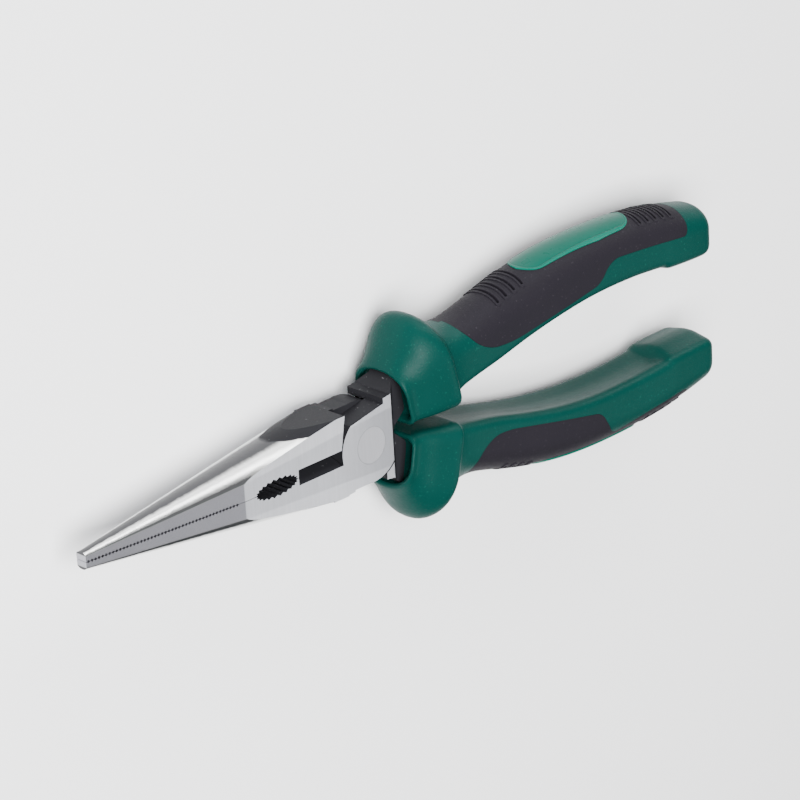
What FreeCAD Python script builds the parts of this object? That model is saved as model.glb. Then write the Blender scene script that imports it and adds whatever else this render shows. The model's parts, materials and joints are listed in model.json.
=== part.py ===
"""Long nose pliers with side cutters, a pipe grip and two-colour moulded handles.

Frame: the pliers lie flat. Z is the pivot axis, the jaw tips point to -X, the handle ends to +X and the
"upper" handle and jaw are on the +Y side. Z = 0 is the surface that the collars rest on, and X = 0 is
half-way between the jaw tips and the handle ends. Every piece is drawn about the pivot, at mid thickness,
and its Placement then lifts it to the rest height. Millimetres.

The two steel forgings are the same shape: turned half round about X, one becomes the other. Each is one
jaw, a half-thickness joint plate and the tang of the opposite handle. A countersunk rivet joins them.
"""

import FreeCAD, Part
import math
import os
import Sketcher

V = FreeCAD.Vector
doc = FreeCAD.newDocument("long_nose_pliers")
sheet = doc.addObject("Spreadsheet::Sheet", "size")

# ----------------------------------------------------------------------------------------------------
# Driving sizes. "half_" sizes are measured from the middle plane or the parting line.

SIZES = [
    # overall
    ("jaw_reach", 84.0, "pivot to jaw tips"),
    ("handle_reach", 121.3, "pivot to handle ends"),
    ("half_joint", 5.9, "half the joint's ground thickness"),
    ("half_width", 10.1, "half the joint's width"),
    # nose: a flat-sided wedge with elliptic flanks, straight from the tip to the root
    ("tip_half_height", 2.12, "tip, parting line to back"),
    ("tip_half_flat", 1.28, "tip, half height of the flat side"),
    ("tip_half_thick", 1.55, "tip, half thickness"),
    ("root_half_height", 11.88, "root, parting line to back"),
    ("root_half_flat", 6.28, "root, half height of the flat side"),
    ("root_half_thick", 9.04, "root, half thickness before the joint faces are ground"),
    # teeth, pipe grip and cutter
    ("tooth_pitch", 0.95, "pitch of the jaw teeth"),
    ("tooth_depth", 0.45, "depth of a jaw tooth"),
    ("teeth_end", 42.0, "distance of the last tooth from the pivot"),
    ("notch_middle", 30.3, "distance of the pipe grip's middle from the pivot"),
    ("notch_half_length", 6.7, "half length of the pipe grip"),
    ("notch_half_height", 2.35, "half height of the pipe grip"),
    ("notch_tooth", 0.55, "depth of a pipe grip tooth"),
    ("notch_teeth", 22, "number of teeth round the pipe grip"),
    ("cutter_back", 23.4, "distance of the cutter's front end from the pivot"),
    ("cutter_half_mouth", 1.92, "half height of the cutter's bevelled mouth"),
    ("cutter_land", 0.8, "half width of the cutting edge's land"),
    ("edge_gap", 0.06, "gap of each cutting edge and jaw face to the parting line"),
    # lap joint
    ("boss_radius", 9.4, "radius of the joint plate about the pivot"),
    ("lap_gap", 0.05, "gap of each plate's inner face to the middle plane"),
    ("swing_gap", 0.35, "gap between a plate's edge and the recess round it"),
    ("plate_top", 8.0, "plate's edge beside its tang, height over the pivot"),
    ("wall_top", 8.0, "recess wall at the joint's outer edge, distance from the pivot"),
    ("tang_left", 4.5, "left side of the tang beside the plate"),
    ("slope_start", 7.0, "where the ground face slopes down to the tang"),
    ("slope_drop", 2.2, "how far it slopes down"),
    ("slope_length", 2.6, "over what length"),
    # rivet
    ("shank_radius", 3.2, "rivet shank"),
    ("head_radius", 4.6, "rivet's countersunk head"),
    ("head_depth", 1.4, "depth of the countersink"),
    ("pin_gap", 0.05, "running clearance round the rivet in the half that turns on it"),
    # handles
    ("collar_half", 11.6, "half width of the hand guard's crest"),
    ("neck", 27.0, "pivot to the neck behind the collar"),
    ("half_spread", 13.3, "half the gap between the grips where it is widest"),
    ("grip_depth", 14.6, "depth of the grip from its inner to its outer side"),
    ("grip_half", 8.0, "half width of the grip"),
    ("end_fall", 1.2, "how far the grip's back falls towards its end"),
    ("tang_half", 4.0, "half height of the steel tang in the neck"),
    ("end_round", 3.0, "rounding of the grip's end"),
    ("toe_step", 1.8, "height of the toe pad's crown on the grip's inner face"),
    ("toe_wider", 0.5, "how far the toe pad stands out on either side"),
    ("toe_start", 0.815, "where the toe pad starts, as a share of the grip from the neck"),
    ("inlay_thick", 1.7, "thickness of the soft inlay"),
    ("badge_thick", 1.0, "thickness of the badge plate"),
    ("badge_proud", 0.45, "rise of the badge's face above the grip's back"),
    ("badge_ahead", 1.1, "badge's middle past the middle of the grip"),
    ("badge_half_length", 19.75, "half length of the badge"),
    ("badge_half_width", 5.6, "half width of the badge"),
    ("groove_width", 0.7, "width of a finger groove in the inlay"),
    ("groove_depth", 0.7, "depth of a finger groove"),
    ("groove_half_span", 5.4, "half length of a finger groove"),
    ("groove_pitch", 2.8, "pitch of the grooves"),
    ("front_grooves", 4, "number of grooves ahead of the badge"),
    ("rear_grooves", 5, "number of grooves behind the badge"),
    ("front_clear", 2.3, "gap between the badge's front end and the middle of the nearest groove"),
    ("rear_clear", 0.9, "gap between the badge's rear end and the middle of the nearest groove"),
    ("cup_wall", 1.5, "wall of the collar round its mouth"),
]
for row, (name, number, what) in enumerate(SIZES, 1):
    sheet.set(f"A{row}", what)
    sheet.set(f"B{row}", str(number))
    sheet.setAlias(f"B{row}", name)
doc.recompute()


def size(name):
    """A driving size, for the freeform shapes that read the sheet directly."""
    return float(sheet.get(name))


def number(formula):
    """The present value of a formula on the sheet's sizes."""
    return float(sheet.evalExpression(formula))


# ----------------------------------------------------------------------------------------------------
# Small helpers: bound sketches, slabs and booleans.

def bind(thing, **formulas):
    for prop, formula in formulas.items():
        thing.setExpression(prop.replace("__", "."), formula)
    return thing


def outline(sketch, corners):
    """A closed polygon whose every corner is dimensioned from the origin by formulas on the sheet."""
    places = [V(number(across), number(up), 0) for across, up in corners]
    for i, place in enumerate(places):
        sketch.addGeometry(Part.LineSegment(place, places[(i + 1) % len(places)]), False)
    for i in range(len(places)):
        sketch.addConstraint(Sketcher.Constraint("Coincident", i, 2, (i + 1) % len(places), 1))
    for i, (across, up) in enumerate(corners):
        for kind, formula, axis in (("DistanceX", across, -2), ("DistanceY", up, -1)):
            if abs(number(formula)) < 1e-9:
                sketch.addConstraint(Sketcher.Constraint("PointOnObject", i, 1, axis))
            else:
                dimension = Sketcher.Constraint(kind, -1, 1, i, 1, number(formula))
                index = sketch.addConstraint(dimension)
                sketch.setExpression(f"Constraints[{index}]", formula)
    return sketch


def slab(name, corners, bottom, top):
    """A plan outline extruded along Z from bottom to top, both formulas."""
    sketch = outline(doc.addObject("Sketcher::SketchObject", name + "_outline"), corners)
    block = doc.addObject("Part::Extrusion", name)
    block.Base = sketch
    block.DirMode = "Custom"
    block.Dir = V(0, 0, 1)
    block.Solid = True
    return bind(block, LengthFwd=top, LengthRev=f"-({bottom})")


def side_slab(name, corners, half_span):
    """An outline in the XZ plane extruded both ways along Y."""
    sketch = outline(doc.addObject("Sketcher::SketchObject", name + "_outline"), corners)
    sketch.Placement.Rotation = FreeCAD.Rotation(V(1, 0, 0), 90)
    block = doc.addObject("Part::Extrusion", name)
    block.Base = sketch
    block.DirMode = "Custom"
    block.Dir = V(0, 1, 0)
    block.Solid = True
    return bind(block, LengthFwd=half_span, LengthRev=half_span)


def cylinder(name, radius, bottom, top):
    round_bar = doc.addObject("Part::Cylinder", name)
    return bind(round_bar, Radius=radius, Height=f"({top}) - ({bottom})", Placement__Base__z=bottom)


def fuse(name, *parts):
    whole = doc.addObject("Part::MultiFuse", name)
    whole.Shapes = list(parts)
    whole.Refine = True
    return whole


def common(name, *parts):
    shared = doc.addObject("Part::MultiCommon", name)
    shared.Shapes = list(parts)
    shared.Refine = True
    return shared


def cut(name, base, tool):
    rest = doc.addObject("Part::Cut", name)
    rest.Base = base
    rest.Tool = tool
    rest.Refine = True
    return rest


def solid_feature(name, shape):
    feature = doc.addObject("Part::Feature", name)
    feature.Shape = shape
    return feature


# ----------------------------------------------------------------------------------------------------
# Steel forging: the half with the lower jaw (-Y), the front plate (+Z) and the upper tang.

THICK = "size.half_joint"
LAP = "size.lap_gap"


def flank_section(name, back, half_height, half_flat, half_thick):
    """An ellipse across the nose whose lower half is the jaw's rounded back."""
    ring = doc.addObject("Part::Ellipse", name)
    ring.Placement.Rotation = FreeCAD.Rotation(V(0, 1, 0), -90)
    return bind(ring, MajorRadius=half_thick, MinorRadius=f"{half_height} - {half_flat}",
                Placement__Base__x=f"-{back}", Placement__Base__y=f"-{half_flat}")


def nose():
    """The lower jaw before the joint is ground: a wedge with flat sides and an elliptic back."""
    back = doc.addObject("Part::Loft", "jaw_back")
    back.Sections = [
        flank_section(end + "_section", reach, f"size.{end}_half_height", f"size.{end}_half_flat",
                      f"size.{end}_half_thick")
        for end, reach in (("tip", "size.jaw_reach"), ("root", "size.wall_top"))]
    back.Solid = True
    back.Ruled = True
    sides = doc.addObject("Part::Wedge", "jaw_sides")
    sides.Placement.Rotation = FreeCAD.Rotation(V(0, 0, 1), -90)
    bind(sides, Xmin="size.edge_gap", X2min="size.edge_gap", Xmax="size.tip_half_flat",
         X2max="size.root_half_flat", Ymin="-size.jaw_reach", Ymax="-size.wall_top",
         Zmin="-size.tip_half_thick", Zmax="size.tip_half_thick",
         Z2min="-size.root_half_thick", Z2max="size.root_half_thick")
    return fuse("nose_blank", back, sides)


def jaw_envelope():
    """Where the lower jaw may be: below the parting line, inside the joint's ground faces, left of the
    recess wall that leaves room for the other half's plate."""
    wall_foot = "-(size.boss_radius + size.swing_gap)"
    corners = [
        ("-size.jaw_reach - 1", "-size.edge_gap"), (wall_foot, "-size.edge_gap"),
        (f"{wall_foot} + 0.15", "-1.6"), ("-size.wall_top", "-size.half_width"),
        ("-size.jaw_reach - 1", "-size.half_width")]
    return slab("jaw_envelope", corners, f"-{THICK}", THICK)


def teeth():
    """Square bars across the jaws, on edge: half of each bar is a V groove in either jaw."""
    pitch, depth, reach = size("tooth_pitch"), size("tooth_depth"), size("half_joint") + 1
    count = int((size("jaw_reach") - size("teeth_end")) / pitch)
    bars = []
    for i in range(count):
        middle = -size("teeth_end") - (i + 0.5) * pitch
        corners = [V(middle - pitch * 0.46, 0, -reach), V(middle, -depth, -reach),
                   V(middle + pitch * 0.46, 0, -reach), V(middle, depth, -reach)]
        face = Part.Face(Part.makePolygon(corners + corners[:1]))
        bars.append(face.extrude(V(0, 0, 2 * reach)))
    return solid_feature("tooth_grooves", Part.Compound(bars))


def pipe_grip():
    """The serrated oval between the teeth and the cutter, cut through both jaws."""
    turns = 2 * int(size("notch_teeth"))
    corners = []
    for i in range(turns):
        angle = 2 * math.pi * i / turns
        depth = size("notch_tooth") * (i % 2)
        corners.append(V(-size("notch_middle") + (size("notch_half_length") - depth) * math.cos(angle),
                         (size("notch_half_height") - depth) * math.sin(angle), -size("half_joint") - 1))
    face = Part.Face(Part.makePolygon(corners + corners[:1]))
    return solid_feature("pipe_grip_hole", face.extrude(V(0, 0, 2 * size("half_joint") + 2)))


def cutter_mouth(name, side):
    """The bevelled mouth of the side cutter on one face: wide at the face, an edge at the land."""
    mouth = doc.addObject("Part::Wedge", name)
    mouth.Placement.Rotation = FreeCAD.Rotation(V(1, 0, 0), 90 * side)
    slope = "size.cutter_half_mouth / (size.half_joint - size.cutter_land)"
    past = f"({THICK} + 1 - size.cutter_land) * {slope}"
    return bind(mouth, Xmin="-size.cutter_back", Xmax="-(size.boss_radius - 1)",
                X2min="-size.cutter_back", X2max="-(size.boss_radius - 1)",
                Ymin="size.cutter_land", Ymax=f"{THICK} + 1", Zmin="-0.01", Zmax="0.01",
                Z2min=f"-({past})", Z2max=past)


def plate():
    """The front half-thickness plate: a disc about the pivot, joined to its jaw and its tang."""
    disc = cylinder("plate_disc", "size.boss_radius", LAP, THICK)
    wall_foot = "-(size.boss_radius + size.swing_gap)"
    to_jaw = slab("plate_to_jaw", [
        (f"{wall_foot} - 3", "-size.cutter_half_mouth"), ("-size.boss_radius + 1", "-1.9"),
        ("-1", "-1"), ("-1", "-size.boss_radius + 0.1"), ("-6", "-size.boss_radius + 0.1"),
        ("-6", "-size.half_width + 0.35"), (f"{wall_foot} - 3", "-size.half_width")], LAP, THICK)
    above = slab("plate_trim", [
        ("-size.boss_radius", "size.plate_top - 1.5"), ("-6.4", "size.plate_top - 1.1"),
        ("size.tang_left", "size.plate_top + 1"), ("size.tang_left", "size.half_width + 4"),
        ("-size.boss_radius", "size.half_width + 4")], "-1", "size.half_joint + 1")
    to_tang = slab("plate_to_tang", [
        ("-6.4", "size.plate_top - 1.1"), ("size.tang_left", "size.plate_top + 1"),
        ("size.tang_left", "size.half_width + 0.2"), ("6.8", "size.half_width + 0.5"), ("9.5", "13"),
        ("9.5", "2"), ("1", "1")], LAP, THICK)
    return cut("plate_disc_trimmed", disc, above), to_jaw, to_tang


def tang_block():
    """The tang beside the joint, full thickness, hollowed round the other half's plate."""
    block = slab("tang_block_blank", [
        ("size.tang_left", "size.plate_top"), ("size.tang_left", "size.half_width + 0.2"),
        ("6.8", "size.half_width + 0.5"), ("12", "15"), ("19", "18"), ("19", "9"), ("12.8", "3.6"),
        ("9.7", "0.9"), ("5", "3")],
        f"-{THICK}", THICK)
    room = cylinder("room_for_plate", "size.boss_radius + size.swing_gap", "-30", LAP)
    return cut("tang_block", block, room)


def slope_cutter(name, face):
    """What is above the slope from the joint's ground face (face = 1 or -1) down to the tang."""
    level = f"{face} * {THICK}"
    low = f"{face} * ({THICK} - size.slope_drop)"
    corners = [("size.slope_start", level), ("size.slope_start + size.slope_length", low),
               ("60", low), ("60", f"{level} * 2"), ("size.slope_start", f"{level} * 2")]
    return side_slab(name, corners, "60")


# Plan points of the collar's inner (towards the other handle) and outer edges and its half width, ring by
# ring from the mouth over the crest to the neck.
COLLAR = [
    # inner x, inner y, outer x, outer y, share of the crest's half width
    (11.6, 1.3, 8.8, 15.4, 0.775),
    (13.3, 1.4, 10.2, 17.7, 0.73),
    (15.6, 1.4, 11.9, 20.6, 0.765),
    (18.8, 1.5, 13.6, 23.7, 0.87),
    (22.4, 1.8, 15.9, 25.8, 0.95),
    (25.3, 2.0, 18.9, 25.9, 1.0),
    (26.3, 2.6, 21.2, 24.1, 0.93),
    (26.7, 3.4, 23.2, 21.5, 0.80),
]
# Share of the way from the neck to the end, share of the handles' half spread, of the grip's depth and
# of its half width.
HANDLE = [
    (0.02, 0.33, 1.08, 1.02),
    (0.08, 0.42, 1.01, 0.96),
    (0.17, 0.54, 1.04, 0.95),
    (0.28, 0.73, 1.045, 0.97),
    (0.40, 0.89, 1.035, 1.00),
    (0.53, 0.985, 1.01, 0.98),
    (0.68, 0.99, 1.00, 0.95),
    (0.82, 0.93, 0.985, 0.97),
    (0.90, 0.90, 0.90, 1.00),
]


def station(share, rise, depth, width):
    """A HANDLE row in millimetres: place along X, inner edge, outer edge and half width."""
    neck, inner = size("neck"), size("half_spread") * rise
    place = neck + share * (size("handle_reach") - neck)
    return place, inner, inner + size("grip_depth") * depth, size("grip_half") * width


# A ring is an oval whose quarters are powers of a sine: CROWN is nearly an ellipse, FLAT nearly square.
RING_POINTS = 36
CROWN = 2 / 2.3
FLAT = 2 / 5
PAD = 2 / 2.8


def ring(inner, outer, half_width, inset=0.0, inner_side=FLAT):
    """A closed curve across the handle: flatter on the inner side, crowned on the outer side."""
    inner, outer = V(*inner, 0), V(*outer, 0)
    middle, reach = (inner + outer) / 2, (outer - inner).Length / 2 - inset
    up, across = (outer - inner).normalize(), V(0, 0, 1)
    points = []
    for i in range(RING_POINTS):
        angle = 2 * math.pi * i / RING_POINTS
        power = CROWN if math.sin(angle) > 0 else inner_side
        rise = math.copysign(abs(math.sin(angle)) ** power, math.sin(angle))
        side = math.copysign(abs(math.cos(angle)) ** power, math.cos(angle))
        points.append(middle + up * (reach * rise) + across * ((half_width - inset) * side))
    curve = Part.BSplineCurve()
    curve.interpolate(Points=points, PeriodicFlag=True)
    return Part.Wire(curve.toShape())


def grip_rings(inset=0.0):
    """The sections of the grip, the last few drawn in to round its end."""
    rings = [ring((x0, y0), (x1, y1), size("collar_half") * share, inset)
             for x0, y0, x1, y1, share in COLLAR]
    for row in HANDLE:
        x, low, high, half = station(*row)
        rings.append(ring((x, low), (x, high), half, inset))
    return rings + end_rings(low, high, half, inset)


def mouth_rings():
    """The hollow in the collar's mouth round the tang, from just outside its rim to its third ring."""
    rings = []
    for row, forward, wall in ((COLLAR[0], 0.4, 1.0), (COLLAR[2], 0.0, 1.8)):
        x0, y0, x1, y1, share = row
        rings.append(ring((x0 - forward, y0), (x1 - forward, y1), size("collar_half") * share,
                          size("cup_wall") * wall))
    return rings


def end_rings(low, high, half, inset, inner_side=FLAT):
    """Sections that draw in round the end of the grip."""
    round_off = size("end_round")
    rings = []
    for turn in (0, 30, 55, 80):
        angle = math.radians(turn)
        place = size("handle_reach") - inset - round_off * (1 - math.sin(angle))
        draw_in = inset + round_off * (1 - math.cos(angle))
        back = high - size("end_fall")
        rings.append(ring((place, low), (place, back), half, draw_in, inner_side))
    return rings


def toe_rings():
    """The crowned pad at the end of the grip's inner face: one step proud and a little wider."""
    x, low, high, half = station(*HANDLE[-1])
    start = size("neck") + size("toe_start") * (size("handle_reach") - size("neck"))
    low, half, top = low - size("toe_step"), half + size("toe_wider"), (low + high) / 2
    first = ring((start, low + size("toe_step") / 3), (start, top), half, 0.0, PAD)
    return [first] + end_rings(low, top, half, 0.0, PAD)


def loft(name, rings):
    return solid_feature(name, Part.makeLoft(rings, True, True))


def tang_bar():
    """The handle's steel inside the grip, tapering towards its end."""
    bars = [ring((17.5, 8.0), (15.0, 16.5), size("tang_half"))]
    for share, rise, depth, width in HANDLE[:-1]:
        x, low, high, half = station(share, rise, depth, width)
        middle, taper = (low + high) / 2, 1 - 0.4 * share
        bars.append(ring((x, middle - size("tang_half") * taper), (x, middle + size("tang_half") * taper),
                         size("tang_half") * taper * 0.85))
    return loft("tang_bar", bars)


# Side views of the soft inlay's edge, from its front end down to the grip's thin rim, along it and up
# round the rear: share of the way from neck to end, share of the half spread, and the corner's rounding.
# The grip's two faces have edges of their own.
INLAY_FACES = {
    1: [(0.0, 1.62, 6.0), (0.12, 0.87, 7.0), (0.22, 0.80, 5.0), (0.54, 1.14, 2.5), (0.60, 1.55, 5.0),
        (0.87, 1.54, 3.5), (0.89, 1.75, 0.0)],
    -1: [(0.0, 1.58, 0.0), (0.11, 0.83, 4.0), (0.17, 0.76, 4.0), (0.53, 1.33, 2.0), (0.575, 1.86, 2.0),
         (0.86, 1.66, 0.0)],
}


def inlay_zone():
    """What the soft inlay fills: over the grip's back, and down its two faces to their own edges."""
    reach, neck, spread = size("handle_reach") - size("neck"), size("neck"), size("half_spread")
    ceiling = spread + 1.4 * size("grip_depth")
    halves = []
    for face, rows in INLAY_FACES.items():
        edge = [(neck + along * reach, up * spread, rounding) for along, up, rounding in rows]
        corners = [V(edge[0][0], ceiling, 0)] + [V(x, y, 0) for x, y, _ in edge]
        corners.append(V(edge[-1][0], ceiling, 0))
        prism = Part.Face(Part.makePolygon(corners + corners[:1])).extrude(V(0, 0, 20 * face))
        for x, y, rounding in edge:
            upright = [e for e in prism.Edges if abs(e.Length - 20) < 0.1
                       and math.hypot(e.CenterOfMass.x - x, e.CenterOfMass.y - y) < 0.01]
            if rounding:
                prism = prism.makeFillet(rounding, upright)
        halves.append(prism)
    return solid_feature("inlay_zone", halves[0].fuse(halves[1]))


BADGE_MIDDLE = "(size.neck + size.handle_reach) / 2 + size.badge_ahead"


def badge_zone():
    """The badge's long outline with round ends, seen on the grip's back."""
    straight, end = size("badge_half_length") - size("badge_half_width"), size("badge_half_width")
    middle, low = number(BADGE_MIDDLE), size("half_spread") * 1.6
    bar = Part.makeBox(2 * straight, 30, 2 * end, V(middle - straight, low, -end))
    ends = [Part.makeCylinder(end, 30, V(middle + side * straight, low, 0), V(0, 1, 0)) for side in (1, -1)]
    return solid_feature("badge_zone", bar.fuse(ends).removeSplitter())


def groove_bars():
    """Slices across the grip where the finger grooves run, on from the badge's two ends."""
    wide, span, pitch = size("groove_width"), size("groove_half_span"), size("groove_pitch")
    bars = []
    for towards, end in ((-1, "front"), (1, "rear")):
        first = size("badge_half_length") + size(f"{end}_clear")
        for i in range(int(size(f"{end}_grooves"))):
            middle = number(BADGE_MIDDLE) + towards * (first + i * pitch)
            corner = V(middle - wide / 2, size("half_spread"), -span)
            bars.append(Part.makeBox(wide, 40, 2 * span, corner))
    return solid_feature("groove_bars", Part.Compound(bars))


# ----------------------------------------------------------------------------------------------------
# Rivet: turned profile with a countersunk head at each face.

def rivet_corners(gap):
    head = f"size.head_radius + {gap}"
    shank = f"size.shank_radius + {gap}"
    return [("0", f"-{THICK}"), (head, f"-{THICK}"), (shank, f"-{THICK} + size.head_depth"),
            (shank, f"{THICK} - size.head_depth"), (head, THICK), ("0", THICK)]


def rivet_bore(name, gap):
    """The tool that cuts a rivet's bore, a gap larger all round."""
    sketch = outline(doc.addObject("Sketcher::SketchObject", name + "_outline"), rivet_corners(gap))
    sketch.Placement.Rotation = FreeCAD.Rotation(V(1, 0, 0), 90)
    turned = doc.addObject("Part::Revolution", name)
    turned.Source = sketch
    turned.Axis = V(0, 0, 1)
    turned.Angle = 360
    turned.Solid = True
    return turned


def rivet():
    body = doc.addObject("PartDesign::Body", "pivot_rivet")
    side = next(f for f in body.Origin.OriginFeatures if f.Role == "XZ_Plane")
    sketch = body.newObject("Sketcher::SketchObject", "rivet_profile")
    sketch.AttachmentSupport = [(side, "")]
    sketch.MapMode = "FlatFace"
    doc.recompute()
    outline(sketch, rivet_corners("0"))
    turned = body.newObject("PartDesign::Revolution", "rivet_turning")
    turned.Profile = sketch
    turned.ReferenceAxis = (sketch, ["V_Axis"])
    turned.Angle = 360
    body.Tip = turned
    return body


# ----------------------------------------------------------------------------------------------------
# Putting the pieces together.

def place(piece, label, turned=False):
    """Lifts a finished piece from the pivot's frame to where it lies, turned over for the other side."""
    piece.Label = label
    if turned:
        piece.Placement.Rotation = FreeCAD.Rotation(V(1, 0, 0), 180)
    bind(piece, Placement__Base__x="(size.jaw_reach - size.handle_reach) / 2",
         Placement__Base__z="size.collar_half")
    return piece


jaw = common("ground_jaw", nose(), jaw_envelope())
for count, tool in enumerate((teeth(), pipe_grip(), cutter_mouth("front_mouth", 1),
                              cutter_mouth("back_mouth", -1))):
    jaw = cut(f"jaw_cut_{count}", jaw, tool)
blank = fuse("forging_blank", jaw, *plate(), tang_block())
for face in (1, -1):
    blank = cut("tang_slope_front" if face > 0 else "tang_slope_back", blank,
                slope_cutter("slope_front" if face > 0 else "slope_back", face))
forging = fuse("forging", blank, tang_bar())

grip = fuse("grip_blank", loft("grip_loft", grip_rings()), loft("toe_pad", toe_rings()))
mouth = loft("collar_mouth", mouth_rings())
core = loft("inlay_floor", grip_rings(size("inlay_thick"))[4:])
badge_floor = loft("badge_floor", grip_rings(size("badge_thick"))[4:])
groove_floor = loft("groove_floor", grip_rings(size("groove_depth"))[4:])
inlay_blank = cut("inlay_blank", common("inlay_block", grip, inlay_zone()), core)
badge_skin = loft("badge_skin", grip_rings(-size("badge_proud"))[4:])
badge = cut("badge_plate", common("badge_block", badge_skin, badge_zone()), badge_floor)
grooves = cut("grooves", groove_bars(), groove_floor)
inlay = cut("inlay_grooved", cut("inlay_pocketed", inlay_blank, badge), grooves)
grip_body = cut("grip_less_badge", cut("grip_less_inlay", grip, inlay_blank), badge)
grip_body = cut("grip_shell", cut("grip_less_mouth", grip_body, mouth), forging)

nodes = [place(rivet(), "pivot_rivet")]
for side, turned in (("upper", False), ("lower", True)):
    jaw_side = "lower" if side == "upper" else "upper"
    gap = "0" if side == "upper" else "size.pin_gap"
    bore = rivet_bore(f"{jaw_side}_bore", gap)
    nodes.append(place(cut(f"{jaw_side}_forging_bored", forging, bore), f"{jaw_side}_jaw_forging", turned))
    for what, shape in (("grip_body", grip_body), ("soft_inlay", inlay), ("badge_plate", badge)):
        copy = doc.addObject("Part::Compound", f"{side}_{what}_placed")
        copy.Links = [shape]
        nodes.append(place(copy, f"{side}_{what}", turned))

doc.recompute()
for thing in doc.Objects:
    if "Invalid" in thing.State or "Error" in thing.State:
        raise RuntimeError(f"{thing.Name} failed: {thing.State}")
os.makedirs("parts", exist_ok=True)
for node in nodes:
    shape = node.Shape
    if shape.isNull() or not shape.isValid() or not shape.Solids:
        raise RuntimeError(f"{node.Label} has no valid solid")
    shape.exportStep(os.path.join("parts", node.Label + ".step"))
    print(node.Label, len(shape.Solids), round(shape.Volume, 1), shape.BoundBox)
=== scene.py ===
# %% [markdown]
# # Long nose pliers
# Two forged steel halves turn on one rivet, and each half ends in a handle moulded from three plastics: a
# hard green grip, a soft charcoal inlay and a glossy green badge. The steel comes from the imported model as
# it is and only gets its finish here. The handles are modelled here, because their sculpted collar, dished
# inner face, finger grooves and crowned badge are shapes that mesh tools make more easily than solids.

# %% Load the frame
import json
import math

import bmesh
import bpy
from mathutils import Matrix, Vector

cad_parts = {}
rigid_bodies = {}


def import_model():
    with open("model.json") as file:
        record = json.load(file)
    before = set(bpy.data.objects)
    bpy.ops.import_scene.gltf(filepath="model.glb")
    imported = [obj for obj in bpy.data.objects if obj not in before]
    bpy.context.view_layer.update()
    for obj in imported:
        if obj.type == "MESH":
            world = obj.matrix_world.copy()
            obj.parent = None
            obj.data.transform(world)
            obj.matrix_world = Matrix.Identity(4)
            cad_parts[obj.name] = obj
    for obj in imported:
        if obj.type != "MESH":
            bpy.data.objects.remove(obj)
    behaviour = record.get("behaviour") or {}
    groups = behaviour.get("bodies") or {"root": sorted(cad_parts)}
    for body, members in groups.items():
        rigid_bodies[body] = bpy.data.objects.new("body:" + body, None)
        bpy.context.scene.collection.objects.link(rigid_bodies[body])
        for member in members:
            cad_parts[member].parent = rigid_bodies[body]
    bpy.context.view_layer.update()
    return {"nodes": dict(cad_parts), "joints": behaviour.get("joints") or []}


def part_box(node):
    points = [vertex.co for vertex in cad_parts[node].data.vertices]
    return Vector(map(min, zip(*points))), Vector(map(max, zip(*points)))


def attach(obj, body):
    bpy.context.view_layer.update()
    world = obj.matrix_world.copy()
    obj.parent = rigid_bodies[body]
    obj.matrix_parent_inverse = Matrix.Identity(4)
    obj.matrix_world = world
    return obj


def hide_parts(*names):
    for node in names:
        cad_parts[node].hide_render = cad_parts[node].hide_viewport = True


for leftover in list(bpy.data.objects):
    bpy.data.objects.remove(leftover)
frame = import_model()
MM = 0.001
pivot = Vector(frame["joints"][0]["pos_m"])

# %% [markdown]
# Lengths below are millimetres from the pivot's centre, at mid thickness: the jaws run to -X, the handles
# to +X, and the upper handle is on the +Y side. One function turns them into the frame's metres.

# %% Places
def spot(x, y, z=0.0):
    """A place given in millimetres from the pivot."""
    return pivot + Vector((x, y, z)) * MM


NECK = 27.0
HALF_JOINT = (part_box("pivot_rivet")[1].z - pivot.z) / MM
JAW_TIP = (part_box("lower_jaw_forging")[0].x - pivot.x) / MM
print("half joint", round(HALF_JOINT, 2), "tip", round(JAW_TIP, 2))

# %% [markdown]
# The view looks down on the front face from the tips' side, with the camera rolled so that the tool runs
# uphill to the right. A long lens from almost a metre away keeps the perspective gentle.

# %% Camera
CAMERA_PLACE = (-565.8, 357.1, 604.5)
CAMERA_RIGHT = Vector((0.7035, -0.0547, 0.7086)).normalized()
CAMERA_UP = Vector((0.3109, 0.9203, -0.2376))

camera = bpy.data.objects.new("camera", bpy.data.cameras.new("camera"))
bpy.context.scene.collection.objects.link(camera)
backward = CAMERA_RIGHT.cross(CAMERA_UP).normalized()
axes = Matrix((CAMERA_RIGHT, backward.cross(CAMERA_RIGHT), backward)).transposed()
camera.matrix_world = Matrix.Translation(spot(*CAMERA_PLACE)) @ axes.to_4x4()
camera.data.lens = 174.0
camera.data.sensor_width = 36.0
camera.data.clip_end = 20.0
bpy.context.scene.camera = camera
print("camera at", tuple(round(v, 3) for v in camera.location))

# %% [markdown]
# Steel looks like steel only when it has bright and dark things to reflect. A long soft box stands behind
# the handles on the upper side, and the rounded backs of the jaws mirror it as one white band. The large one
# overhead lights the floor and the plastic, and a small weak one puts an even sheen on the ground faces. The
# room itself is left dim, so that there is something dark to mirror too.

# %% Lights
def soft_box(name, place, aim, width, height, watts):
    """A rectangular area light at a place in millimetres, turned towards another."""
    light = bpy.data.objects.new(name, bpy.data.lights.new(name, "AREA"))
    light.data.shape = "RECTANGLE"
    light.data.size = width * MM
    light.data.size_y = height * MM
    light.data.energy = watts
    light.location = spot(*place)
    light.rotation_euler = (spot(*aim) - light.location).to_track_quat("-Z", "Y").to_euler()
    bpy.context.scene.collection.objects.link(light)
    return light


soft_box("band_light", (430, 740, 250), (-30, 0, 0), 900, 260, 9.0)
soft_box("top_light", (-480, 150, 860), (0, 0, 0), 700, 700, 42.0)
soft_box("face_light", (560, -340, 620), (-10, 0, 0), 300, 300, 1.3)

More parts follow.
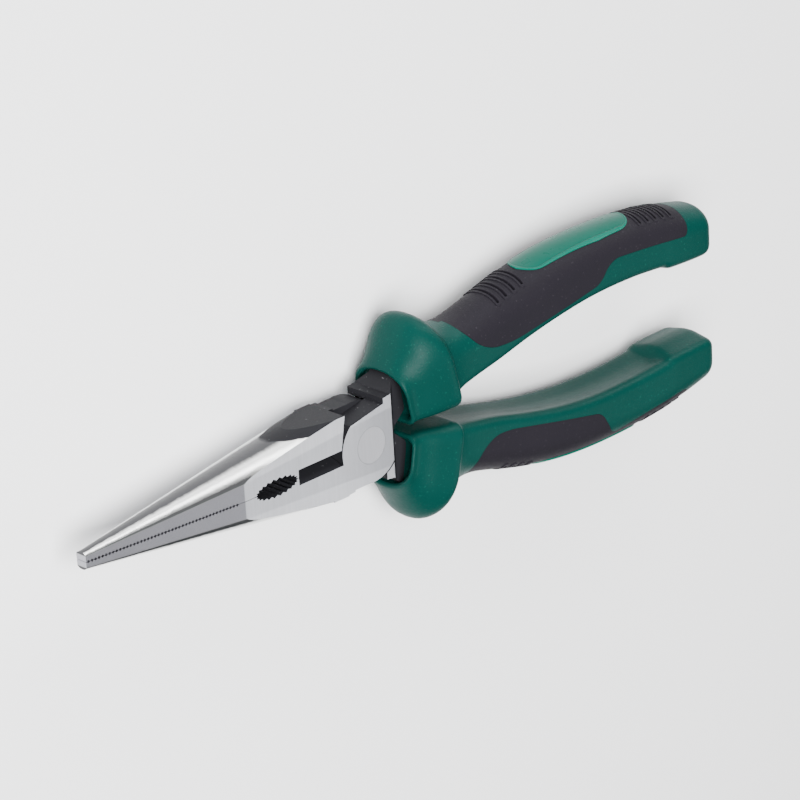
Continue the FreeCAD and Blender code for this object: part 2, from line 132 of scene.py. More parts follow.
world = bpy.data.worlds.new("room")
bpy.context.scene.world = world
world.use_nodes = True
world.node_tree.nodes["Background"].inputs["Color"].default_value = (0.80, 0.82, 0.85, 1)
world.node_tree.nodes["Background"].inputs["Strength"].default_value = 0.20

# %% [markdown]
# Shader sums are easier to read as sums. `Wire` wraps one socket and adds a Math node for each operator,
# and `Paint` holds one material: its `add` method makes any other node.

# %% Shader helpers
class Wire:
    """A number or vector that varies over the surface, for use in ordinary sums."""

    def __init__(self, paint, socket):
        self.paint, self.socket = paint, socket

    def sum_with(self, operation, first, second):
        return self.paint.add("ShaderNodeMath", {"operation": operation}, {0: first, 1: second})

    def __add__(self, other):
        return self.sum_with("ADD", self, other)

    def __sub__(self, other):
        return self.sum_with("SUBTRACT", self, other)

    def __rsub__(self, other):
        return self.sum_with("SUBTRACT", other, self)

    def __mul__(self, other):
        return self.sum_with("MULTIPLY", self, other)

    def __abs__(self):
        return self.sum_with("ABSOLUTE", self, 0.0)

    def higher(self, other):
        return self.sum_with("MAXIMUM", self, other)

    def lower(self, other):
        return self.sum_with("MINIMUM", self, other)

    def above(self, start, full):
        """0 below start, 1 above full, and an even ramp between. Swapped limits turn it round."""
        settings = {"interpolation_type": "SMOOTHSTEP"}
        if full > start:
            return self.paint.add("ShaderNodeMapRange", settings, {0: self, 1: start, 2: full})
        return 1.0 - self.paint.add("ShaderNodeMapRange", settings, {0: self, 1: full, 2: start})

    __radd__ = __add__
    __rmul__ = __mul__


class Paint:
    """One material: a Principled surface and whatever nodes feed it."""

    def __init__(self, name):
        self.material = bpy.data.materials.new(name)
        self.material.use_nodes = True
        self.tree = self.material.node_tree
        self.surface = self.tree.nodes["Principled BSDF"]
        self.place = self.add("ShaderNodeTexCoord", output="Object")
        self.facing = self.add("ShaderNodeTexCoord", output="Normal")

    def add(self, kind, settings=None, inputs=None, output=0):
        """Makes a node, sets it up, gives its sockets values or links, and returns one output."""
        node = self.tree.nodes.new(kind)
        for name, value in (settings or {}).items():
            setattr(node, name, value)
        for name, value in (inputs or {}).items():
            self.feed(node.inputs[name], value)
        return Wire(self, node.outputs[output])

    def feed(self, socket, value):
        if isinstance(value, Wire):
            self.tree.links.new(value.socket, socket)
        else:
            socket.default_value = value

    def set(self, **values):
        """Principled sockets by name, with _ for a space."""
        for name, value in values.items():
            self.feed(self.surface.inputs[name.replace("_", " ")], value)

    def axes_of(self, vector):
        split = self.add("ShaderNodeSeparateXYZ", None, {0: vector}).socket.node
        return [Wire(self, split.outputs[i]) for i in range(3)]

    def from_pivot(self, side=1):
        """X, Y and Z in millimetres from the pivot, for a half that is turned over where side is -1."""
        centred = self.add("ShaderNodeVectorMath", {"operation": "SUBTRACT"},
                           {0: self.place, 1: tuple(pivot)}, "Vector")
        return [axis * (sign / MM) for axis, sign in zip(self.axes_of(centred), (1, side, side))]

    def length(self, first, second):
        """The distance that two distances at right angles make."""
        return self.add("ShaderNodeMath", {"operation": "SQRT"}, {0: first * first + second * second})

    def mix(self, share, first, second):
        """Blends two colours, each a link or an (r, g, b)."""
        node = self.tree.nodes.new("ShaderNodeMix")
        node.data_type = "RGBA"
        for index, value in ((0, share), (6, first), (7, second)):
            self.feed(node.inputs[index], (*value, 1.0) if isinstance(value, tuple) else value)
        return Wire(self, node.outputs[2])

    def noise(self, per_mm, stretch=(1, 1, 1), detail=2.0, rough=0.5):
        """Soft random values around 0.5 with features about 1 / per_mm millimetres across."""
        scale = tuple(per_mm / MM * s for s in stretch)
        spread = self.add("ShaderNodeVectorMath", {"operation": "MULTIPLY"},
                          {0: self.place, 1: scale}, "Vector")
        return self.add("ShaderNodeTexNoise", None,
                        {"Vector": spread, "Scale": 1.0, "Detail": detail, "Roughness": rough})

    def bump(self, height, depth_mm):
        """A relief whose height runs from 0 to 1, that many millimetres deep."""
        normal = self.add("ShaderNodeBump", None,
                          {"Height": height, "Distance": depth_mm * MM, "Strength": 1.0}, "Normal")
        self.set(Normal=normal)


print("shader helpers ready")

# %% [markdown]
# The floor is a seamless pale sweep. It has a trace of mottling, so that it isn't one flat value.

# %% Floor
def floor_paint():
    paint = Paint("pale_floor")
    cloud = paint.noise(0.01, detail=3.0)
    paint.set(Base_Color=paint.mix(cloud, (0.86, 0.865, 0.87), (0.90, 0.90, 0.905)),
              Roughness=cloud.above(0.2, 0.9) * 0.1 + 0.6)
    return paint.material


bpy.ops.object.select_all(action="DESELECT")
bpy.ops.mesh.primitive_plane_add(size=6.0, location=(0, 0, 0))
floor = bpy.context.object
floor.name = "floor"
floor.data.materials.append(floor_paint())

# %% [markdown]
# The halves are forged, then ground and brushed where they work. So one piece of steel shows several
# finishes: a bright ground face on the joint, satin flats and polished backs on the nose, and black oxide
# everywhere that no wheel reached. Which finish a point has is worked out from its place. Painted light is
# laid over these finishes: painted shade darkens the ground face towards the handles, and painted dark
# reflections, picked by which way the surface faces, run along the backs' outer crest and in a band where
# the backs turn into the flats. Both halves are the same forging turned over, so one function serves both,
# with Y and Z reversed for the second.

# %% Steel
NOSE_ROOT, TIP_FLAT, ROOT_FLAT = -8.0, 1.28, 6.28
RECESS_FRONT, RECESS_TOP, RECESS_WALL = -37.3, 2.4, -9.0
TANG_START = -9.6


def steel_paint(name, side):
    """Forged steel, ground, brushed and blackened, with painted shade on the ground face and painted dark
    reflections on the backs. side is -1 for the half that is turned over.
    """
    paint = Paint(name)
    x, y, z = paint.from_pivot(side)
    nz = paint.axes_of(paint.facing)[2]
    height, depth = abs(y), abs(z)

    ground = depth.above(HALF_JOINT - 0.05, HALF_JOINT - 0.01) * abs(nz).above(0.97, 0.995)
    flat_edge = (x - NOSE_ROOT) * ((ROOT_FLAT - TIP_FLAT) / (NOSE_ROOT - JAW_TIP)) + ROOT_FLAT
    back = (height - flat_edge).above(-0.05, 0.25)
    # Painted dark reflections: the backs' outer crest, and the band where the backs turn into the flats, are
    # picked by which way the surface faces.
    painted_dark_crest = back * abs(nz).above(0.40, 0.20)
    painted_dark_band = back * abs(nz).above(0.80, 0.90)
    oxide_edge = paint.noise(0.25, detail=2.0) * 0.6
    far_back = x.above(-29.0, -27.0) * (height + oxide_edge - (x * -0.06 + 7.85)).above(-0.1, 0.1)
    inside = x.above(RECESS_FRONT, RECESS_FRONT + 0.3) * height.above(RECESS_TOP + 0.05, RECESS_TOP - 0.05)
    inside = inside * x.above(RECESS_WALL, RECESS_WALL - 0.3)
    behind = x.above(TANG_START - 0.02, TANG_START + 0.05)
    black = (far_back.higher(inside).higher(behind)).lower(1.0) * (1.0 - ground)

    long_lines = paint.noise(0.9, (0.05, 1.0, 1.0), detail=4.0, rough=0.65)
    cross_lines = paint.noise(1.6, (1.0, 0.06, 0.6), detail=4.0, rough=0.65)
    grain = paint.noise(3.2, detail=3.0, rough=0.7)
    blotch = paint.noise(0.12, detail=3.0)
    specks = paint.noise(1.3, detail=1.0).above(0.73, 0.78)

    flat_colour = paint.mix(grain, (0.25, 0.25, 0.275), (0.35, 0.35, 0.38))
    back_colour = paint.mix(long_lines, (0.60, 0.605, 0.595), (0.86, 0.86, 0.85))
    ground_colour = paint.mix(cross_lines, (0.50, 0.51, 0.54), (0.66, 0.665, 0.70))
    # Painted shade: the ground face is painted darker towards the handles, a gradient of light across the
    # face.
    ground_colour = paint.mix(x.above(-14.0, 7.0) * 0.6, ground_colour, (0.30, 0.305, 0.33))
    black_colour = paint.mix(specks, (0.012, 0.012, 0.014), (0.075, 0.075, 0.08))
    colour = paint.mix(back, flat_colour, back_colour)
    # Painted dark reflections go on here: one on the backs' crest and one on the band beside the flats.
    colour = paint.mix(painted_dark_crest, colour, (0.05, 0.05, 0.053))
    colour = paint.mix(painted_dark_band * 0.9, colour, (0.12, 0.125, 0.13))
    colour = paint.mix(ground, colour, ground_colour)
    colour = paint.mix(black, colour, black_colour)
    rough = 0.34 + grain * 0.14 - back * 0.10 + ground * 0.06 + blotch * 0.05
    rough = rough * (1.0 - black) + black * (grain * 0.25 + 0.36)
    relief = grain * 0.25 + long_lines * back * 0.25 + cross_lines * ground * 0.5 + black * grain * 1.2
    paint.set(Base_Color=colour, Roughness=rough, Metallic=1.0 - black, Specular_IOR_Level=0.04)
    paint.bump(relief, 0.012)
    return paint.material


def repaint(node, material):
    """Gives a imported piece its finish. The mesh stays as it is."""
    mesh = frame["nodes"][node].data
    mesh.materials.clear()
    mesh.materials.append(material)


repaint("lower_jaw_forging", steel_paint("forged_steel_front", 1))
repaint("upper_jaw_forging", steel_paint("forged_steel_back", -1))

# %% [markdown]
# The rivet is ground flush with the joint, so all that shows is a faint ring where its head meets the plate.

# %% Rivet
def rivet_paint():
    paint = Paint("rivet_steel")
    x, y, z = paint.from_pivot()
    ring = paint.length(x, y).above(4.42, 4.56)
    lines = paint.noise(1.6, (1.0, 0.06, 0.6), detail=4.0, rough=0.65)
    colour = paint.mix(lines, (0.40, 0.405, 0.43), (0.52, 0.52, 0.55))
    paint.set(Base_Color=paint.mix(ring, colour, (0.30, 0.30, 0.32)), Metallic=1.0,
              Roughness=lines * 0.1 + 0.38)
    paint.bump(lines * 0.5 + (1.0 - ring), 0.012)
    return paint.material


repaint("pivot_rivet", rivet_paint())

# %% [markdown]
# Now the handles. A mould's cavity is cut section by section, and this mesh is made in the same way: one
# closed outline, flat and square-cornered towards the hand's palm side and crowned on the back, is extruded
# from station to station and turned, sized and dished at each. A table gives the stations, and a smooth
# curve through its rows gives the rings between them.

# %% Stations of the grip
# inner edge x and y, outer edge x and y, half width, depth of the dish in the inner face
STATIONS = [
    (11.6, 1.3, 8.8, 15.4, 9.0, 0.0),
    (13.3, 1.4, 10.2, 17.7, 8.45, 0.0),
    (15.6, 1.4, 11.9, 20.6, 8.9, 0.0),
    (18.8, 1.5, 13.6, 23.7, 10.1, 0.0),
    (22.4, 1.8, 15.9, 25.8, 11.0, 0.0),
    (25.2, 2.0, 18.8, 25.9, 11.6, 0.0),
    (26.2, 2.6, 21.2, 24.1, 10.8, 0.05),
    (26.8, 3.4, 23.6, 21.3, 9.2, 0.1),
    (28.9, 4.4, 28.9, 20.1, 8.15, 0.2),
    (34.5, 5.6, 34.5, 20.3, 7.7, 0.5),
    (43.0, 7.2, 43.0, 22.4, 7.6, 0.8),
    (53.4, 9.7, 53.4, 25.0, 7.8, 0.9),
    (64.7, 11.8, 64.7, 26.9, 8.0, 0.9),
    (77.0, 13.1, 77.0, 27.8, 7.85, 0.9),
    (91.1, 13.2, 91.1, 27.8, 7.6, 0.8),
    (102.4, 12.5, 102.4, 26.9, 7.75, 0.6),
    (103.0, 12.3, 103.0, 26.8, 7.8, 0.2),
    (104.2, 11.6, 104.2, 26.6, 7.9, -0.9),
    (111.9, 11.2, 111.9, 25.2, 7.95, -1.0),
    (117.2, 11.1, 117.2, 24.0, 7.8, -0.9),
]
STEP = 1.5
END_ROUND = 4.0


def smooth_row(rows, i, share):
    """A Catmull-Rom curve through the table's rows."""
    before, start, finish, after = (rows[max(0, min(len(rows) - 1, i + k))] for k in (-1, 0, 1, 2))
    t, tt, ttt = share, share ** 2, share ** 3
    return tuple(0.5 * (2 * b + (c - a) * t + (2 * a - 5 * b + 4 * c - d) * tt + (3 * b - a - 3 * c + d) * ttt)
                 for a, b, c, d in zip(before, start, finish, after))


def grip_rings():
    """Every ring of the grip as (middle x, middle y, tilt, half height, half width, dish)."""
    rows = []
    for i in range(len(STATIONS) - 1):
        gap = max(math.dist(STATIONS[i][:2], STATIONS[i + 1][:2]),
                  math.dist(STATIONS[i][2:4], STATIONS[i + 1][2:4]))
        count = max(1, round(gap / STEP))
        rows += [smooth_row(STATIONS, i, k / count) for k in range(count)]
    rows.append(STATIONS[-1])
    rings = []
    for x0, y0, x1, y1, half, dish in rows:
        rings.append([(x0 + x1) / 2, (y0 + y1) / 2, math.atan2(x0 - x1, y1 - y0),
                      math.dist((x0, y0), (x1, y1)) / 2, half, dish])
    return rings


def drawn_in(ring, forward, inset):
    """The same ring moved along X and drawn in all round."""
    x, y, tilt, tall, half, dish = ring
    return [x + forward, y, tilt, tall - inset, half - inset, dish * (1 - inset / tall)]


body = grip_rings()
lip = [drawn_in(body[3], 0.0, 2.0), drawn_in(body[0], 0.6, 1.5), drawn_in(body[0], -0.05, 1.1),
       drawn_in(body[0], -0.3, 0.55)]
end = []
for degrees in (18, 36, 54, 70, 82):
    angle = math.radians(degrees)
    end.append(drawn_in(body[-1], END_ROUND * math.sin(angle), END_ROUND * (1 - math.cos(angle))))
rings = lip + body + end
print(len(rings), "rings")

# %% [markdown]
# The outline starts as a plane with its corners rounded by a vertex bevel: small rounds on the inner side,
# and large ones that almost meet on the back. Without a window, transform.rotate turns the other way and
# needs its centre given.

# %% Outline and extrusion
INNER_CORNER, OUTER_CORNER = 0.30, 0.92


def edit_vertices(test):
    """Selects, in edit mode, the vertices whose place passes a test. Returns how many."""
    mesh = bmesh.from_edit_mesh(bpy.context.object.data)
    bpy.ops.mesh.select_all(action="DESELECT")
    count = 0
    for vertex in mesh.verts:
        if test(vertex.co):
            vertex.select = True
            count += 1
    mesh.select_flush_mode()
    bmesh.update_edit_mesh(bpy.context.object.data)
    return count


def start_outline(name):
    """A rounded outline 2 across in the YZ plane, in edit mode and selected, with no face."""
    bpy.ops.object.select_all(action="DESELECT")
    bpy.ops.mesh.primitive_plane_add(size=2.0, rotation=(0, math.pi / 2, 0))
    bpy.context.object.name = name
    bpy.ops.object.transform_apply(rotation=True)
    bpy.ops.object.mode_set(mode="EDIT")
    bpy.ops.mesh.select_mode(type="VERT")
    for corners, offset, segments in ((lambda c: c.y < 0, INNER_CORNER, 5),
                                      (lambda c: c.y > 0.99, OUTER_CORNER, 9)):
        edit_vertices(corners)
        bpy.ops.mesh.bevel(offset=offset, segments=segments, affect="VERTICES", offset_type="OFFSET")
    for straight, cuts in ((lambda c: c.y < -0.999, 7), (lambda c: c.z > 0.999, 3),
                           (lambda c: c.z < -0.999, 3), (lambda c: c.y > 0.999, 1)):
        edit_vertices(straight)
        bpy.ops.mesh.subdivide(number_cuts=cuts)
    bpy.ops.mesh.select_all(action="SELECT")
    bpy.ops.mesh.delete(type="ONLY_FACE")
    bpy.ops.mesh.select_all(action="SELECT")
    return bpy.context.object


def turn(angle, centre):
    bpy.ops.transform.rotate(value=-angle, orient_axis="Z", orient_type="GLOBAL", center_override=centre)


def move_ring(before, after):
    """Takes the selected ring from one station to the next with the transform tools."""
    x0, y0, tilt0, tall0, half0, dish0 = before
    x1, y1, tilt1, tall1, half1, dish1 = after
    centre = spot(x0, y0)
    turn(-tilt0, centre)
    bpy.ops.transform.resize(value=(1, tall1 / tall0, half1 / half0), center_override=centre)
    sink = (dish1 - dish0 * tall1 / tall0) * MM
    if abs(sink) > 1e-7:
        mesh = bmesh.from_edit_mesh(bpy.context.object.data)
        ring = [v for v in mesh.verts if v.select]
        base = centre.y - (tall1 - 1.2) * MM
        for share in (0.62, 0.44, 0.25):
            for vertex in ring:
                inside = abs(vertex.co.z - centre.z) < share * half1 * MM and vertex.co.y < base
                vertex.select_set(inside)
            bmesh.update_edit_mesh(bpy.context.object.data)
            bpy.ops.transform.translate(value=(0, sink / 3, 0))
        for vertex in ring:
            vertex.select_set(True)
        mesh.select_flush_mode()
    turn(tilt1, centre)
    bpy.ops.transform.translate(value=spot(x1, y1) - centre)


def loft(name, rings):
    """A closed body through the rings: extrude the outline, then place it, again and again."""
    piece = start_outline(name)
    x, y, tilt, tall, half, dish = rings[0]
    bpy.ops.transform.resize(value=(1, MM * tall, MM * half), center_override=(0, 0, 0))
    bpy.ops.transform.translate(value=spot(x, y))
    move_ring([x, y, 0.0, tall, half, 0.0], rings[0])
    bpy.ops.mesh.edge_face_add()
    for before, after in zip(rings, rings[1:]):
        bpy.ops.mesh.extrude_region_move()
        move_ring(before, after)
    bpy.ops.mesh.select_all(action="SELECT")
    bpy.ops.mesh.normals_make_consistent(inside=False)
    bpy.ops.object.mode_set(mode="OBJECT")
    return piece


handle = loft("handle_blank", rings)
print(handle.name, len(handle.data.vertices), "vertices")

# %% [markdown]
# One subdivision rounds the facets off. The soft inlay and the hard grip share this outer skin, so both
# are cut from copies of the blank. Where a skin of even thickness is wanted, the same sections are drawn in
# or let out and extruded again, which keeps the inner body as clean as the outer one.

# %% Working copies
def only(piece):
    """Leaves one object selected and active."""
    bpy.ops.object.select_all(action="DESELECT")
    piece.select_set(True)
    bpy.context.view_layer.objects.active = piece
    return piece


def apply_modifier(piece, kind, **settings):
    """Adds a modifier, sets it and applies it."""
    only(piece)
    modifier = piece.modifiers.new(kind.lower(), kind)
    for name, value in settings.items():
        setattr(modifier, name, value)
    bpy.ops.object.modifier_apply(modifier=modifier.name)
    return piece


def copy_of(piece, name):
    """A copy with a mesh of its own."""
    twin = piece.copy()
    twin.data = piece.data.copy()
    twin.name = name
    bpy.context.scene.collection.objects.link(twin)
    return twin


def sleeve(name, inset):
    """The handle behind the collar again, with its skin moved in, or out where the amount is negative."""
    piece = loft(name, [drawn_in(ring, 0.0, inset) for ring in body if ring[0] > NECK - 2.0])
    return apply_modifier(piece, "SUBSURF", levels=1, render_levels=1)


def carve(piece, tool, operation):
    """A boolean between two closed bodies. The tool is used up."""
    apply_modifier(piece, "BOOLEAN", object=tool, operation=operation, solver="EXACT")
    bpy.data.objects.remove(tool)
    return piece


apply_modifier(handle, "SUBSURF", levels=1, render_levels=1)
print("handle skin", len(handle.data.polygons), "faces")

# %% [markdown]
# The cutting tool is drawn in side view, as the moulder's shut-off edge is: a chain of corners, each rounded
# by its own amount, filled and extruded sideways. The two faces of the grip have different edges, so there
# is one such block for each, and the two overlap a little in the middle so that they join cleanly.

# %% The inlay's shut-off edge
INLAY_EDGES = {
    # x, y and rounding of each corner of the inlay's edge, on the front face and on the back one
    1: [(28.6, 21.6, 5.0), (37.2, 11.8, 5.0), (47.5, 11.2, 3.5), (78.2, 16.2, 2.2), (82.2, 21.2, 3.2),
        (103.0, 19.7, 6.0), (110.8, 19.0, 3.6), (110.8, 27.0, 4.0)],
    -1: [(28.6, 20.6, 2.0), (36.8, 11.2, 4.0), (43.5, 10.7, 4.0), (76.8, 17.6, 2.0), (81.4, 25.0, 2.0),
         (110.4, 21.6, 3.0), (110.8, 27.0, 2.0)],
}
SKY = 32.0
BLOCK_WIDE, BLOCK_OVERLAP = 14.0, 0.3


def drawn_block(name, corners, thickness, overlap):
    """A closed outline of (x, y, rounding) corners, extruded from just past mid thickness to one side."""
    bpy.ops.object.select_all(action="DESELECT")
    bpy.ops.mesh.primitive_plane_add(size=MM, location=spot(*corners[0][:2]))
    block = bpy.context.object
    block.name = name
    bpy.ops.object.transform_apply(location=True)
    bpy.ops.object.mode_set(mode="EDIT")
    bpy.ops.mesh.select_mode(type="VERT")
    bpy.ops.mesh.select_all(action="SELECT")
    bpy.ops.mesh.merge(type="CENTER")
    for before, after in zip(corners, corners[1:]):
        bpy.ops.mesh.extrude_vertices_move()
        bpy.ops.transform.translate(value=spot(*after[:2]) - spot(*before[:2]))
    bpy.ops.mesh.select_all(action="SELECT")
    bpy.ops.mesh.edge_face_add()
    for x, y, rounding in corners:
        if rounding:
            edit_vertices(lambda place: (place - spot(x, y)).length < 1e-5)
            bpy.ops.mesh.bevel(offset=rounding * MM, segments=10, affect="VERTICES")
    bpy.ops.mesh.select_all(action="SELECT")
    bpy.ops.transform.translate(value=(0, 0, -overlap * MM))
    bpy.ops.mesh.extrude_region_move()
    bpy.ops.transform.translate(value=(0, 0, (thickness + overlap) * MM))
    bpy.ops.mesh.select_all(action="SELECT")
    bpy.ops.mesh.normals_make_consistent(inside=False)
    bpy.ops.object.mode_set(mode="OBJECT")
    return block


def inlay_tool(name):
    """Both faces' blocks as one."""
    blocks = []
    for side, edge in INLAY_EDGES.items():
        corners = [(edge[0][0], SKY, 0.0)] + edge + [(edge[-1][0], SKY, 0.0)]
        blocks.append(drawn_block(f"{name}_{side}", corners, BLOCK_WIDE * side, BLOCK_OVERLAP * side))
    return carve(blocks[0], blocks[1], "UNION")


tool = inlay_tool("inlay_tool")
print("inlay tool", len(tool.data.polygons), "faces")

# %% [markdown]
# The inlay is a skin of even thickness over a solid core: a slimmer sleeve of the same sections. The grip
# keeps its pocket a hair larger than the inlay, and that hair is the thin dark seam between them.

# %% Grip and inlay
INLAY_THICK, SEAM = 1.7, 0.09
core = sleeve("inlay_core", INLAY_THICK)
carve(tool, core, "DIFFERENCE")
pocket = only(copy_of(tool, "inlay_pocket"))
bpy.ops.object.mode_set(mode="EDIT")
bpy.ops.mesh.select_all(action="SELECT")
bpy.ops.transform.shrink_fatten(value=SEAM * MM)
bpy.ops.object.mode_set(mode="OBJECT")
grip = carve(copy_of(handle, "upper_grip"), pocket, "DIFFERENCE")
inlay = carve(copy_of(handle, "upper_inlay"), tool, "INTERSECT")
print("grip", len(grip.data.polygons), "inlay", len(inlay.data.polygons), "faces")

# %% [markdown]
# The finger grooves are narrow slots across the back, each with a low lip round it. One bar is modelled
# and copied along the back: the wide bars give the lips, cut from a slightly larger sleeve, and the narrow
# ones give the slots, less a slightly smaller sleeve that leaves their floor.

# %% Finger grooves
GROOVE_WIDE, GROOVE_DEEP, GROOVE_SPAN, GROOVE_PITCH = 0.7, 0.7, 10.8, 2.8
LIP_WIDE, LIP_HIGH, LIP_SPAN = 1.8, 0.24, 11.8
BADGE_MIDDLE, BADGE_HALF, BADGE_HALF_WIDE = 75.25, 19.75, 5.4
FRONT_CLEAR, REAR_CLEAR = 2.3, 0.9


def bars(name, width, span):
    """A row of upright bars across the back, ahead of the badge and behind it."""
    places = [BADGE_MIDDLE - BADGE_HALF - FRONT_CLEAR - i * GROOVE_PITCH for i in range(4)]
    places += [BADGE_MIDDLE + BADGE_HALF + REAR_CLEAR + i * GROOVE_PITCH for i in range(5)]
    pieces = []
    for i, x in enumerate(places):
        bpy.ops.object.select_all(action="DESELECT")
        bpy.ops.mesh.primitive_cube_add(size=1.0, location=spot(x, 24.5),
                                        scale=(width * MM, 12 * MM, span * MM))
        bpy.ops.object.transform_apply(location=True, scale=True)
        bar = bpy.context.object
        apply_modifier(bar, "BEVEL", width=width * 0.42 * MM, segments=4, limit_method="ANGLE")
        pieces.append(bar)
    bpy.ops.object.select_all(action="DESELECT")
    for bar in pieces:
        bar.select_set(True)
    bpy.context.view_layer.objects.active = pieces[0]
    bpy.ops.object.join()
    pieces[0].name = name
    return pieces[0]


lips = carve(sleeve("lips", -LIP_HIGH), bars("lip_bars", LIP_WIDE, LIP_SPAN), "INTERSECT")
slots = carve(bars("slots", GROOVE_WIDE, GROOVE_SPAN), sleeve("slot_floor", GROOVE_DEEP), "DIFFERENCE")
carve(inlay, lips, "UNION")
carve(inlay, slots, "DIFFERENCE")
print("grooved inlay", len(inlay.data.polygons), "faces")

# %% [markdown]
# The badge is a long plate with round ends, laid over the back's double curve. It is drawn flat as a
# stadium, filled with a grid so that it can bend, pressed down onto the blank with a Shrinkwrap, and given
# its thickness and rounded edges there. A little smoothing first takes out the blank's facets.

# %% Badge
BADGE_THICK, BADGE_PROUD = 1.3, 0.36


def badge_plate(name):
    bpy.ops.object.select_all(action="DESELECT")
    bpy.ops.mesh.primitive_plane_add(size=2.0, location=spot(BADGE_MIDDLE, 34.0),
                                     rotation=(-math.pi / 2, 0, 0))
    plate = bpy.context.object
    plate.name = name
    bpy.ops.object.transform_apply(location=True, rotation=True)
    bpy.ops.object.mode_set(mode="EDIT")
    bpy.ops.mesh.select_mode(type="VERT")
    bpy.ops.mesh.select_all(action="SELECT")
    bpy.ops.transform.resize(value=(BADGE_HALF * MM, 1, BADGE_HALF_WIDE * MM),
                             center_override=spot(BADGE_MIDDLE, 34.0))
    bpy.ops.mesh.bevel(offset=BADGE_HALF_WIDE * 0.97 * MM, segments=10, affect="VERTICES")
    side = BADGE_HALF_WIDE * MM - 1e-6
    for half in (1, -1):
        edit_vertices(lambda place: (place.z - pivot.z) * half > side)
        bpy.ops.mesh.subdivide(number_cuts=30)
    edit_vertices(lambda place: True)
    bpy.ops.mesh.delete(type="ONLY_FACE")
    edit_vertices(lambda place: True)
    bpy.ops.mesh.fill_grid(span=22)
    bpy.ops.object.mode_set(mode="OBJECT")
    return plate


def laid_on_back(plate):
    """Presses the flat plate onto the blank, then thickens it and rounds its edges."""
    apply_modifier(plate, "SHRINKWRAP", target=handle, wrap_method="PROJECT", use_project_y=True,
                   use_negative_direction=True, use_positive_direction=False, offset=BADGE_PROUD * MM,
                   wrap_mode="ABOVE_SURFACE")
    only(plate)
    bpy.ops.object.mode_set(mode="EDIT")
    bpy.ops.mesh.select_all(action="SELECT")
    bpy.ops.mesh.normals_make_consistent(inside=False)
    bpy.ops.object.mode_set(mode="OBJECT")
    if plate.data.polygons[0].normal.y < 0:
        plate.data.flip_normals()
    apply_modifier(plate, "SMOOTH", factor=0.5, iterations=16)
    apply_modifier(plate, "SOLIDIFY", thickness=BADGE_THICK * MM, offset=-1.0)
    apply_modifier(plate, "BEVEL", width=0.38 * MM, segments=3, limit_method="ANGLE",
                   angle_limit=math.radians(50))
    return plate


badge = laid_on_back(badge_plate("upper_badge"))
print("badge", len(badge.data.polygons), "faces")

# %% [markdown]
# The plastics. The grip is a hard plastic with a spark-eroded grain, and its glitter is painted: lighter
# green specks in its colour are painted glints. The inlay is a soft, dry rubber with a coarser grain, and
# the badge is left glossy. The badge's rim is only a fraction of a millimetre high, so it is a relief in
# the shader.

# %% Plastics
def grip_paint():
    paint = Paint("hard_green_plastic")
    grain, cloud = paint.noise(2.2, detail=2.0, rough=0.6), paint.noise(0.06, detail=3.0)
    # Painted glints: lighter green specks in the base colour stand in for the grain's glitter.
    painted_glints = paint.noise(1.9, detail=1.0).above(0.68, 0.74)
    colour = paint.mix(cloud, (0.0, 0.026, 0.021), (0.0, 0.033, 0.027))
    paint.set(Base_Color=paint.mix(painted_glints * 0.30, colour, (0.01, 0.10, 0.07)),
              Roughness=grain * 0.14 + 0.30 + cloud * 0.06, Specular_IOR_Level=0.06)
    paint.bump(grain, 0.075)
    return paint.material


def inlay_paint():
    paint = Paint("soft_charcoal_rubber")
    grain, cloud = paint.noise(1.9, detail=3.0, rough=0.65), paint.noise(0.05, detail=3.0)
    dust = paint.noise(1.6, detail=1.0).above(0.71, 0.75)
    colour = paint.mix(cloud, (0.0095, 0.0085, 0.0115), (0.0125, 0.0110, 0.0145))
    paint.set(Base_Color=paint.mix(dust * 0.25, colour, (0.06, 0.055, 0.065)),
              Roughness=grain * 0.20 + 0.44, Specular_IOR_Level=0.05)
    paint.bump(grain, 0.10)
    return paint.material


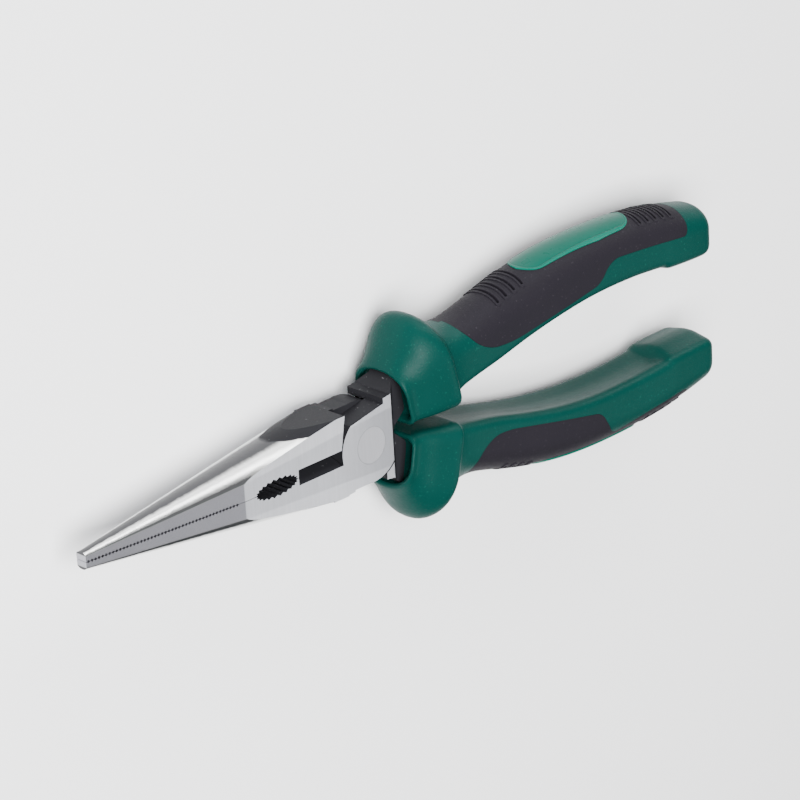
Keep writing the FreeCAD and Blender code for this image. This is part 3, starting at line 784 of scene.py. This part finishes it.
def badge_paint():
    """Glossy green, with a shallow panel inside a narrow rim that follows the badge's outline."""
    paint = Paint("glossy_green_badge")
    x, y, z = paint.from_pivot()
    past_end = (abs(x - BADGE_MIDDLE) - (BADGE_HALF - BADGE_HALF_WIDE)).higher(0.0)
    rim = paint.length(past_end, z).above(BADGE_HALF_WIDE - 1.05, BADGE_HALF_WIDE - 0.80)
    ripple, cloud = paint.noise(0.35, detail=2.0), paint.noise(0.08, detail=2.0)
    colour = paint.mix(cloud, (0.0, 0.058, 0.040), (0.0, 0.070, 0.048))
    paint.set(Base_Color=paint.mix(rim, colour, (0.0, 0.090, 0.062)),
              Roughness=ripple * 0.10 + 0.24, Specular_IOR_Level=0.06)
    paint.bump(ripple * 0.3 + rim, 0.16)
    return paint.material


# %% [markdown]
# Both handles come from one mould, so the lower one is the upper one turned over about the tool's long axis.

# %% Both handles
def finished(piece, material, angle):
    """Merges what the booleans left double, smooths the faces and paints them."""
    only(piece)
    bpy.ops.object.mode_set(mode="EDIT")
    bpy.ops.mesh.select_all(action="SELECT")
    bpy.ops.mesh.remove_doubles(threshold=0.004 * MM)
    bpy.ops.mesh.dissolve_degenerate(threshold=0.002 * MM)
    bpy.ops.object.mode_set(mode="OBJECT")
    bpy.ops.object.shade_smooth_by_angle(angle=math.radians(angle))
    piece.data.materials.clear()
    piece.data.materials.append(material)
    return piece


def turned_over(piece, name):
    twin = only(copy_of(piece, name))
    bpy.ops.transform.rotate(value=math.pi, orient_axis="X", orient_type="GLOBAL", center_override=pivot)
    bpy.ops.object.transform_apply(location=True, rotation=True)
    return twin


HALVES = {"upper": "front_half", "lower": "back_half"}
for piece, part, slot, material, angle in (
        (grip, "grip_body", "grip_green", grip_paint(), 32),
        (inlay, "soft_inlay", "inlay_charcoal", inlay_paint(), 32),
        (badge, "badge_plate", "badge_green", badge_paint(), 60)):
    finished(piece, material, angle)
    twin = turned_over(piece, piece.name.replace("upper", "lower"))
    for side, one in (("upper", piece), ("lower", twin)):
        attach(one, HALVES[side])
        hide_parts(f"{side}_{part}")
    print(part, len(piece.data.polygons), "faces each")
bpy.data.objects.remove(handle)

# %% Update the view layer
bpy.context.view_layer.update()
